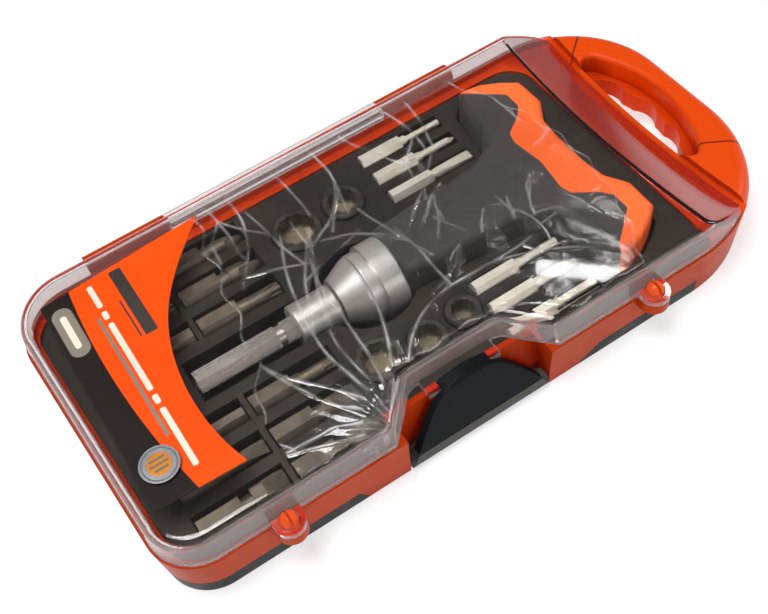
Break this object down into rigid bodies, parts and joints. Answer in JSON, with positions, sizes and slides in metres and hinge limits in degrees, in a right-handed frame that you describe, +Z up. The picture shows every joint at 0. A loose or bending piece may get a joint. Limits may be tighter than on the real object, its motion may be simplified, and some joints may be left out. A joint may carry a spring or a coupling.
{
  "type": "screwdriver set in case",
  "caption": "Hinged orange carry case with a clear lid, holding a T-handle ratchet driver, screw bits, fine bits and small sockets in a tray.",
  "frame": {"origin": "middle of the footprint, on the table", "axes": "+X along the case towards the carry handle, +Y towards the hinges, +Z up"},
  "size_m": [0.2042, 0.1096, 0.0267],
  "materials": {
    "orange_plastic": "satin, slightly darker side walls",
    "bright_orange_plastic": "glossy",
    "black_plastic": "satin",
    "dark_tray_plastic": "flocked-looking matte",
    "clear_plastic": "clear, glossy",
    "slate_plastic": "satin",
    "peg_plastic": "glossy",
    "card_print": "coated card, orange and black print",
    "silver_foil": "metallised foil",
    "clear_film": "thin clear shrink film",
    "handle_orange": "satin",
    "grip_rubber": "soft matte",
    "bright_steel": "polished",
    "pin_steel": "plain",
    "magnet_metal": "plain",
    "satin_aluminium": "satin, turned",
    "ring_aluminium": "satin, turned",
    "bit_steel": "sand-blasted, grey",
    "fine_bit_steel": "bright, nickel",
    "socket_steel": "dark nickel"
  },
  "bodies": {
    "case": {"base_frame": "orange_plastic", "bit_cross_1": "bit_steel", "bit_cross_2": "bit_steel", "bit_cross_3": "bit_steel", "bit_hex_4": "bit_steel", "bit_hex_5": "bit_steel", "bit_slot_4": "bit_steel", "bit_slot_5": "bit_steel", "bit_slot_6": "bit_steel", "bit_slot_7": "bit_steel", "bit_star_15": "bit_steel", "bit_star_20": "bit_steel", "bit_star_25": "bit_steel", "bit_tray": "dark_tray_plastic", "bottom_shell": "black_plastic", "carry_grip": "bright_orange_plastic", "fine_bit_cross_0": "fine_bit_steel", "fine_bit_cross_00": "fine_bit_steel", "fine_bit_slot_2": "fine_bit_steel", "fine_bit_slot_3": "fine_bit_steel", "fine_bit_star_6": "fine_bit_steel", "fine_bit_star_8": "fine_bit_steel", "handle_core": "handle_orange", "handle_rubber_grip": "grip_rubber", "hinge_pin": "pin_steel", "latch_pin": "pin_steel", "pawl_spring": "pin_steel", "ratchet_collar": "satin_aluminium", "ratchet_pawls": "pin_steel", "snap_pegs": "peg_plastic", "socket_10": "socket_steel", "socket_6": "socket_steel", "socket_7": "socket_steel", "socket_8": "socket_steel", "socket_9": "socket_steel"},
    "lid": {"lid": "clear_plastic", "label_card": "card_print", "label_sticker": "silver_foil", "shrink_film": "clear_film"},
    "latch": {"latch": "slate_plastic"},
    "spindle": {"ratchet_spindle": "satin_aluminium", "fine_bit_adapter": "bright_steel", "adapter_magnet": "magnet_metal", "ratchet_gear": "pin_steel", "spindle_clip": "pin_steel"},
    "selector": {"selector_ring": "ring_aluminium"}
  },
  "joints": [
    {"name": "lid_hinge", "type": "hinge", "parent": "case", "child": "lid", "pos_m": [-0.01353, 0.0522, 0.0176], "axis": [-1, 0, 0], "range_deg": [0, 180]},
    {"name": "latch_hinge", "type": "hinge", "parent": "case", "child": "latch", "pos_m": [-0.01013, -0.0465, 0.0026], "axis": [1, 0, 0], "range_deg": [0, 90]},
    {"name": "spindle_spin", "type": "hinge", "parent": "case", "child": "spindle", "pos_m": [-0.03743, 0, 0.0132], "axis": [1, 0, 0], "continuous": true},
    {"name": "selector_turn", "type": "hinge", "parent": "case", "child": "selector", "pos_m": [-0.01643, 0, 0.0132], "axis": [1, 0, 0], "range_deg": [-25, 25]}
  ]
}
